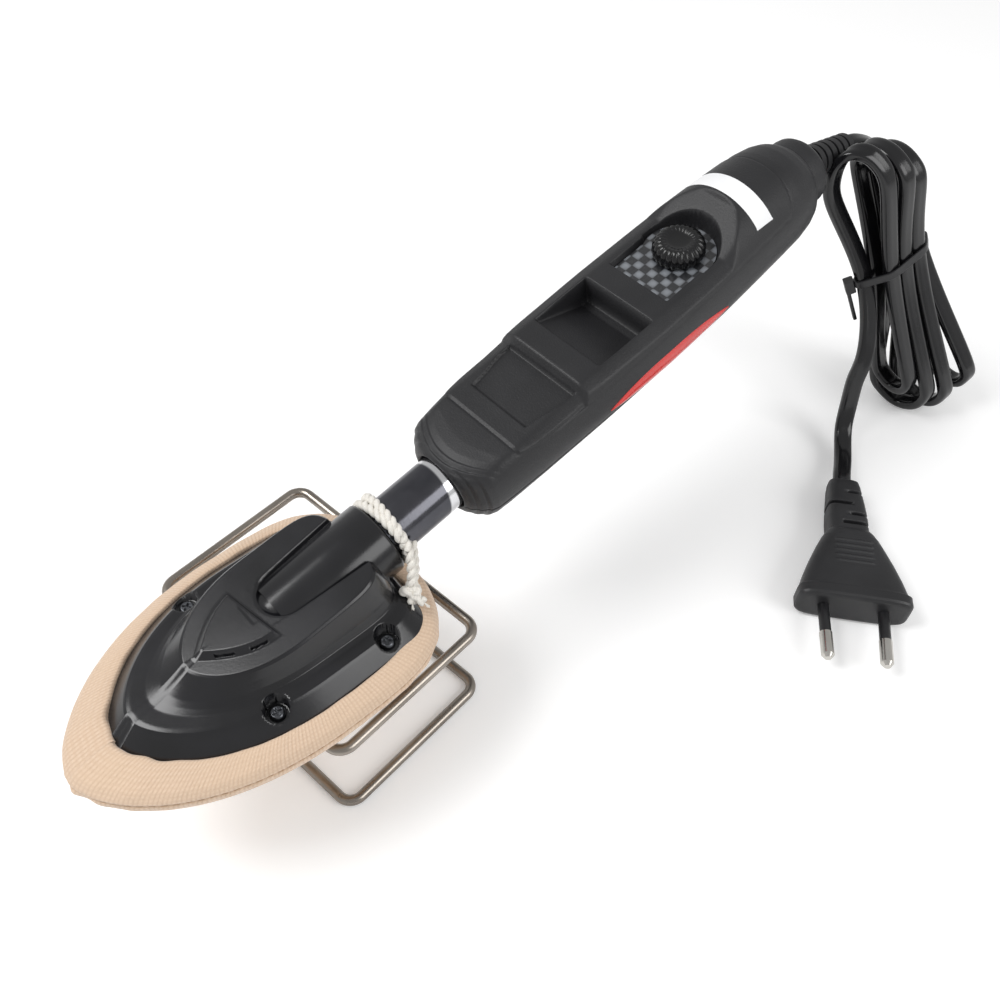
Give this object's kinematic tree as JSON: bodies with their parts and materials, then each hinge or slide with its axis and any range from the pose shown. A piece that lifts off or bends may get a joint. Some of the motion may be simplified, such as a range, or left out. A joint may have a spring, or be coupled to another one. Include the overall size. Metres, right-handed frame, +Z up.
{
  "type": "sealing iron",
  "caption": "Electric film sealing iron: a socked heated shoe on a steel neck, a pitched handle with a temperature knob, a bent wire stand, and a flat mains cord tied in a hank.",
  "frame": {"origin": "on the surface that the stand rests on, below the middle of the iron and stand without the cord", "axes": "+X along the iron from the shoe's tip to its tail, +Y to the left of someone who holds it, +Z up"},
  "size_m": [0.3234, 0.1542, 0.1082],
  "materials": {
    "steel_wire": "satin drawn wire",
    "cotton_knit": "fine rib knit",
    "cotton_cord": "twisted",
    "cast_aluminium": "machined",
    "ceramic_heater": "matt",
    "plated_steel": "bright zinc",
    "black_steel": "blackened",
    "sensor_glass": "clear amber",
    "cover_plastic": "semi-gloss moulded",
    "tube_steel": "bright with a heat tint",
    "housing_plastic": "fine soft texture",
    "fascia_plastic": "carbon-weave pattern under gloss",
    "knob_plastic": "polished",
    "pot_plastic": "moulded",
    "circuit_board": "lacquered",
    "silicone_lead": "matt",
    "mains_core": "satin",
    "red_insert": "polished",
    "white_label": "satin film",
    "relief_rubber": "matt",
    "cord_jacket": "satin",
    "plug_plastic": "fine moulded texture",
    "sleeve_plastic": "smooth",
    "nickel": "polished"
  },
  "bodies": {
    "stand": {"stand_wire": "steel_wire"},
    "iron": {"sock": "cotton_knit", "drawstring": "cotton_cord", "sole_plate": "cast_aluminium", "heating_element": "ceramic_heater", "heater_clamp": "plated_steel", "temperature_sensor": "sensor_glass", "shoe_cover": "cover_plastic", "cover_screws": "plated_steel", "neck_tube": "tube_steel", "tube_strap": "plated_steel", "strap_screws": "plated_steel", "tube_flange": "plated_steel", "upper_housing": "housing_plastic", "lower_housing": "housing_plastic", "housing_screws": "black_steel", "fascia_plate": "fascia_plastic", "potentiometer": "pot_plastic", "pot_nut": "plated_steel", "control_board": "circuit_board", "heater_leads": "silicone_lead", "mains_leads": "mains_core", "grip_insert_left": "red_insert", "grip_insert_right": "red_insert", "label_sticker": "white_label", "rear_end_cap": "housing_plastic", "strain_relief": "relief_rubber", "cord_lead": "cord_jacket", "cord_hank": "cord_jacket", "cord_tail": "cord_jacket", "cable_tie": "cord_jacket", "plug_body": "plug_plastic", "pin_sleeves": "sleeve_plastic", "plug_pins": "nickel"},
    "knob": {"control_knob": "knob_plastic", "pot_shaft": "plated_steel"}
  },
  "joints": [
    {"name": "iron_lift", "type": "slide", "parent": "stand", "child": "iron", "axis": [0, 0, 1], "range_m": [0, 0.06]},
    {"name": "knob_turn", "type": "hinge", "parent": "iron", "child": "knob", "pos_m": [0.06129, -0.0057, 0.0932], "axis": [-0.213, 0, 0.977], "range_deg": [-140, 140]}
  ]
}
